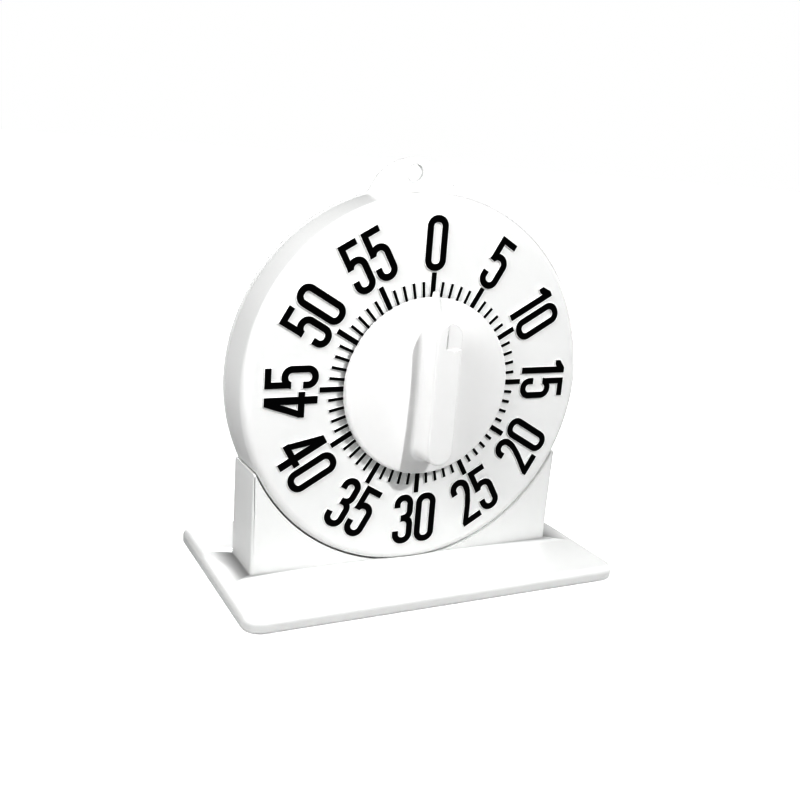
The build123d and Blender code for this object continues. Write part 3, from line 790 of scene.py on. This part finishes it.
SKIRT_AND_UNDERSIDE = [  # radius, height: down the skirt, inward below, up the central bore
    (KNOB_R, 2.4), (KNOB_R, 1.45), (KNOB_R - 0.1, 1.15), (KNOB_R - 0.35, 1.0),
    (KNOB_R - 1.75, 1.0), (KNOB_R - 2.0, 1.2), (KNOB_R - 2.0, 2.6), (KNOB_R - 2.4, 3.0),
    (34.0, dome(34.0) - SHELL), (22.0, dome(22.0) - SHELL), (10.0, dome(10.0) - SHELL),
    (5.2, dome(5.0) - SHELL), (4.6, dome(5.0) - SHELL - 0.5), (4.6, 1.3), (4.3, 1.0),
    (2.75, 1.0), (2.55, 1.2), (2.55, 15.1),
]
NOTCH = [  # x, z
    (-1.3, 44.0), (12.0, 44.0), (12.0, 21.5), (-0.9, 21.5), (-1.3, 21.9),
]
POINTER = [  # x, z
    (0.0, 33.0), (2.6, 34.8), (2.45, 35.4), (0.75, 44.5), (0.45, 44.9), (0.0, 45.0),
    (-0.45, 44.9), (-0.75, 44.5), (-2.45, 35.4), (-2.6, 34.8),
]


def stadium(half_width, half_length):
    """Upright slot outline, evenly spaced, clockwise from the top."""
    straight = half_length - half_width
    quarter = math.pi * half_width / 2
    total = 4 * quarter + 4 * straight
    points = []
    for i in range(KNOB_COUNT):
        run = total * i / KNOB_COUNT
        if run < quarter:
            angle, centre = run / half_width, straight
        elif run < quarter + 2 * straight:
            points.append((half_width, straight - (run - quarter)))
            continue
        elif run < 3 * quarter + 2 * straight:
            angle = math.pi / 2 + (run - quarter - 2 * straight) / half_width
            centre = -straight
        elif run < 3 * quarter + 4 * straight:
            points.append((-half_width, -straight + (run - 3 * quarter - 2 * straight)))
            continue
        else:
            angle = 3 * math.pi / 2 + (run - 3 * quarter - 4 * straight) / half_width
            centre = straight
        points.append((half_width * math.sin(angle), centre + half_width * math.cos(angle)))
    return points


def bar_ring(inset, height):
    """Ring on the drafted bar, drawn in from its wall."""
    spread = (GRIP_TOP - height) * DRAFT
    outline = stadium(TOP_HALF_WIDTH - inset + spread, TOP_HALF_LENGTH - inset + spread)
    return [(x, z, height) for x, z in outline]


def round_ring(radius, height):
    return [(x, z, height) for x, z in circle(radius, KNOB_COUNT)]


def knob_rings():
    """(x, z, height) rings from the bar's top over the dome and skirt to the bore."""
    rings = [bar_ring(inset, GRIP_TOP) for inset in (4.6, 3.0, 1.7)]
    rings += [bar_ring(inset, GRIP_TOP - drop) for inset, drop in rounding(TOP_ROUND, 8, 86)]
    rings += [bar_ring(0.0, h) for h in np.linspace(GRIP_TOP - TOP_ROUND - 0.6, 10.2, 7)]

    spread = 2.6 * DRAFT
    for lift, growth in rounding(FILLET, 9):
        outline = stadium(BAR_HALF_WIDTH - spread + growth, BAR_HALF_LENGTH - spread + growth)
        rings.append([(x, z, dome(math.hypot(x, z)) + lift) for x, z in outline])

    # over the dome, blending from the bar's outline to a circle
    inner = rings[-1]
    outer = circle(DOME_RIM_R, KNOB_COUNT)
    for blend in np.linspace(0, 1, 22)[1:]:
        ring = []
        for (x, z, _), (outer_x, outer_z) in zip(inner, outer):
            px = x + (outer_x - x) * blend
            pz = z + (outer_z - z) * blend
            ring.append((px, pz, dome(math.hypot(px, pz))))
        rings.append(ring)

    for angle in quarter_turn(8)[1:]:
        radius = DOME_RIM_R + RIM_ROUND * math.sin(angle)
        rings.append(round_ring(radius, DOME_RIM_HEIGHT - RIM_ROUND * (1 - math.cos(angle))))
    return rings + [round_ring(radius, height) for radius, height in SKIRT_AND_UNDERSIDE]


def prism(name, outline, front, back, edge, steps, flare=0.0):
    """Prism along the dial axis between two depths, rounded in front, flared at the back."""
    levels = [
        (offset_loop(outline, -inset), front + drop) for inset, drop in rounding(edge, steps)
    ]
    levels.append((offset_loop(outline, flare), back))
    return stacked_body(name, levels, at, "white_knob")


def build_knob():
    skin = Skin()
    rings = [skin.ring([at(x, z, -height) for x, z, height in ring]) for ring in knob_rings()]
    skin.bridge(rings)
    skin.strip_cap(rings[0])
    skin.strip_cap(rings[-1])
    knob = make_object("dial_knob", skin, "white_knob")
    # shallow step at the bar's upper end
    notch = prism("notch_cutter", NOTCH, front=-30.0, back=-(GRIP_TOP - 0.4),
                  edge=0.01, steps=1)
    combine(knob, notch, "DIFFERENCE")
    nub = prism("pointer_nub", POINTER, front=-5.8, back=-1.6, edge=0.5, steps=6, flare=0.1)
    combine(knob, nub, "UNION")
    finish_combined(knob, "white_knob", "dial_knob")
    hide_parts("knob")


# ------------------------------------------------------------------ stand: base plate and cradle
BASE_X0, BASE_X1 = stand_lo.x / MM, stand_hi.x / MM
BASE_Y0, BASE_Y1 = stand_lo.y / MM, stand_hi.y / MM
BASE_BOTTOM, BASE_TOP = stand_lo.z / MM, 7.0
BASE_CORNER = 9.0
BOTTOM_ROUND, BASE_ROUND = 0.8, 3.0             # lower and upper edge of the plate
PAN_LEVELS = [(2.4, -1.0), (2.4, 3.1), (2.7, 3.4)]  # inset, z of the hollow below

CRADLE_TOP = stand_hi.z / MM
CRADLE_X = 81.6                                 # half width
CRADLE_FRONT, CRADLE_BACK = DIAL_Y + 2.7, DIAL_Y + 31.4
CRADLE_ROUND = 1.7
SADDLE_R = CASE_R + 0.32                        # arc that holds the case
BED_GAP = 0.25                                  # room around the case's front


def from_above(x, y, z):
    return (x * MM, y * MM, z * MM)


def from_front(x, z, y):
    return (x * MM, y * MM, z * MM)


def base_loop(inset):
    """The base's rounded rectangle, seen from above."""
    radius = BASE_CORNER - inset
    x0, x1 = BASE_X0 + inset + radius, BASE_X1 - inset - radius
    y0, y1 = BASE_Y0 + inset + radius, BASE_Y1 - inset - radius
    points = []
    for x, y, start in ((x1, y1, 0), (x0, y1, 90), (x0, y0, 180), (x1, y0, 270)):
        for k in range(15):
            angle = math.radians(start + 90 * k / 14)
            points.append((x + radius * math.cos(angle), y + radius * math.sin(angle)))
    return densify(points, 12.0)


def cradle_outline():
    """The cradle seen from the front: left side, saddle from left to right, right side."""
    tip_angle = math.degrees(math.asin((AXIS_Z - CRADLE_TOP) / SADDLE_R))
    tip_x = math.sqrt(SADDLE_R ** 2 - (AXIS_Z - CRADLE_TOP) ** 2)
    left = [
        (-CRADLE_X, 4.6),
        (-CRADLE_X, CRADLE_TOP - 0.35),
        (-CRADLE_X + 0.12, CRADLE_TOP - 0.1),
        (-CRADLE_X + 0.35, CRADLE_TOP),
        (-tip_x - 0.18, CRADLE_TOP),
        (-tip_x - 0.02, CRADLE_TOP - 0.1),
    ]
    saddle = []
    for degrees in np.linspace(tip_angle + 0.25, 180 - tip_angle - 0.25, 150)[::-1]:
        angle = math.radians(degrees)
        z = AXIS_Z - SADDLE_R * math.sin(angle)
        if z < CRADLE_TOP - 0.3:
            saddle.append((SADDLE_R * math.cos(angle), z))
    return left + saddle + [(-x, z) for x, z in left[::-1]]


def inset_cradle(outline, inset):
    """Draws the outline in, less on the saddle and at the tips so it never crosses itself."""
    saddle_share = 0.4
    tip_zone = 2.5  # below the top, sideways movement fades and z moves in full
    loop = offset_loop(outline, -inset)
    for i, ((new_x, new_z), (x, z)) in enumerate(zip(loop, outline)):
        on_saddle = abs(math.hypot(x, AXIS_Z - z) - SADDLE_R) < 0.02
        share = saddle_share if on_saddle else 1.0
        if z > CRADLE_TOP - tip_zone:
            share *= min(1.0, 0.45 + (CRADLE_TOP - z) * 0.2) * 0.75
            loop[i] = (x + (new_x - x) * share, new_z)
        elif on_saddle:
            loop[i] = (x + (new_x - x) * share, z + (new_z - z) * share)
    return loop


def cradle_block():
    outline = cradle_outline()
    edge = rounding(CRADLE_ROUND, 6)
    steps = [(inset, CRADLE_FRONT + drop) for inset, drop in edge]
    steps += [(drop, CRADLE_BACK - inset) for inset, drop in edge]
    levels = [(inset_cradle(outline, inset), y) for inset, y in steps]
    return stacked_body("cradle_block", levels, from_front, "white_stand")


def bed_cutter():
    """The case's shape with a little room, cut out of plate and cradle."""
    radius = EDGE + BED_GAP
    profile = [(0.0, FACE - BED_GAP), (CASE_R - EDGE, FACE - BED_GAP)]
    profile += [
        (CASE_R - EDGE + radius * math.sin(angle), EDGE_END - radius * math.cos(angle))
        for angle in np.radians(np.linspace(10, 90, 12))
    ]
    profile += [(CASE_BACK_R + 0.35, COVER_DEPTH + 0.4), (0.0, COVER_DEPTH + 0.4)]
    skin = Skin()
    skin.lathe(profile, 360, closed=False)
    return make_object("bed_cutter", skin, "white_stand")


def build_stand():
    levels = [
        (base_loop(inset), BASE_BOTTOM + drop) for inset, drop in rounding(BOTTOM_ROUND, 4)
    ]
    levels += [
        (base_loop(drop), BASE_TOP - inset) for inset, drop in rounding(BASE_ROUND, 12)
    ]
    stand = stacked_body("timer_stand", levels, from_above, "white_stand")
    pan = [(base_loop(inset), z) for inset, z in PAN_LEVELS]
    combine(stand, stacked_body("pan_cutter", pan, from_above, "white_stand"), "DIFFERENCE")
    combine(stand, cradle_block(), "UNION")
    combine(stand, bed_cutter(), "DIFFERENCE")
    finish_combined(stand, "white_stand", "stand")
    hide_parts("stand")


# ------------------------------------------------------------------ floor, light, camera
FLOOR_RADII = (0.4, 1.2, 3.0, 8.0, 20.0)        # metres
FLOOR_COUNT = 96
SKY_EVEN = 0.0                                  # world light from all around
SKY_PARTS = [                                   # axis, sign, added world light from there
    ("Z", 1.0, 0.65),
    ("X", -1.0, 0.0),
    ("X", 1.0, 0.0),
    ("Y", -1.0, 0.0),
]
KEY_DISTANCE = 0.70                             # metres from the dial


def build_floor():
    MATERIALS["floor"] = floor_material()
    skin = Skin()
    rings = []
    for radius in FLOOR_RADII:
        rings.append(skin.ring([(x, y, 0.0) for x, y in circle(radius, FLOOR_COUNT)]))
        if len(rings) == 1:
            skin.fan(rings[0], skin.ring([(0, 0, 0)])[0])
    skin.bridge(rings)
    make_object("studio_floor", skin, "floor", weighted=False)


def build_world():
    """Directional sky for lighting, plain white where the camera sees it."""
    world = bpy.data.worlds.new("studio")
    bpy.context.scene.world = world
    graph = Graph(world)
    coord = graph.node("ShaderNodeTexCoord").outputs["Generated"]
    direction = graph.node("ShaderNodeSeparateXYZ", {0: coord})
    total = graph.math("ADD", SKY_EVEN, 0.0)
    for axis, sign, strength in SKY_PARTS:
        side = graph.math("MAXIMUM", graph.times(direction.outputs[axis], by=sign), 0.0)
        total = graph.math("ADD", total, graph.times(side, by=strength))
    backgrounds = [
        graph.node("ShaderNodeBackground", {"Color": (1.0, 1.0, 1.0), "Strength": strength})
        for strength in (total, 1.0)
    ]
    sky, backdrop = [node.outputs["Background"] for node in backgrounds]
    seen = graph.node("ShaderNodeLightPath").outputs["Is Camera Ray"]
    mixed = graph.node("ShaderNodeMixShader", {"Fac": seen, 1: sky, 2: backdrop})
    graph.node("ShaderNodeOutputWorld", {"Surface": mixed.outputs["Shader"]})


def lamp(name, offset, **settings):
    """Area light, offset from the dial's centre in metres and aimed at it."""
    dial = Vector((AXIS_X * MM, DIAL_Y * MM, AXIS_Z * MM))
    place = dial + offset
    light = bpy.data.lights.new(name, "AREA")
    for key, value in settings.items():
        setattr(light, key, value)
    ob = bpy.data.objects.new(name, light)
    bpy.context.scene.collection.objects.link(ob)
    ob.location = place
    ob.visible_camera = False
    ob.rotation_mode = "QUATERNION"
    ob.rotation_quaternion = (dial - place).to_track_quat("-Z", "Y")


def build_lights():
    key_direction = Vector((0.38, -1.0, 0.82)).normalized()
    lamp("key", key_direction * KEY_DISTANCE, energy=2.99, shape="DISK", size=0.034)
    lamp("soft_left", Vector((-0.34, -0.12, 0.26)), energy=1.33, size=0.25)
    lamp("back_fill", Vector((0.05, 0.95, 0.0)), energy=4.5, size=0.3)
    lamp("right_fill", Vector((0.95, 0.12, 0.0)), energy=3.0, size=0.3)


def build_camera():
    lens = bpy.data.cameras.new("camera")
    camera = bpy.data.objects.new("camera", lens)
    bpy.context.scene.collection.objects.link(camera)
    lens.sensor_width = 36.0
    lens.lens = 43.8422
    lens.clip_start = 0.01
    lens.clip_end = 60.0
    # the camera's own axes in the row frame
    right = Vector((0.8928806, -0.4438082, 0.0761483))
    up = Vector((0.0445478, 0.2553395, 0.9658246))
    view = Vector((0.4480846, 0.8589738, -0.2477584))
    pose = Matrix((right, up, -view)).transposed().to_4x4()
    pose.translation = Vector((-0.216813, -0.406503, 0.200821))
    camera.matrix_world = pose

    scene = bpy.context.scene
    scene.camera = camera
    scene.view_settings.view_transform = "Standard"
    scene.view_settings.look = "None"
    scene.view_settings.exposure = 0.0
    scene.view_settings.gamma = 0.556


dress_cad_nodes()
build_housing()
build_back_cover()
build_numerals()
build_knob()
build_stand()
build_floor()
build_world()
build_lights()
build_camera()

bpy.context.view_layer.update()
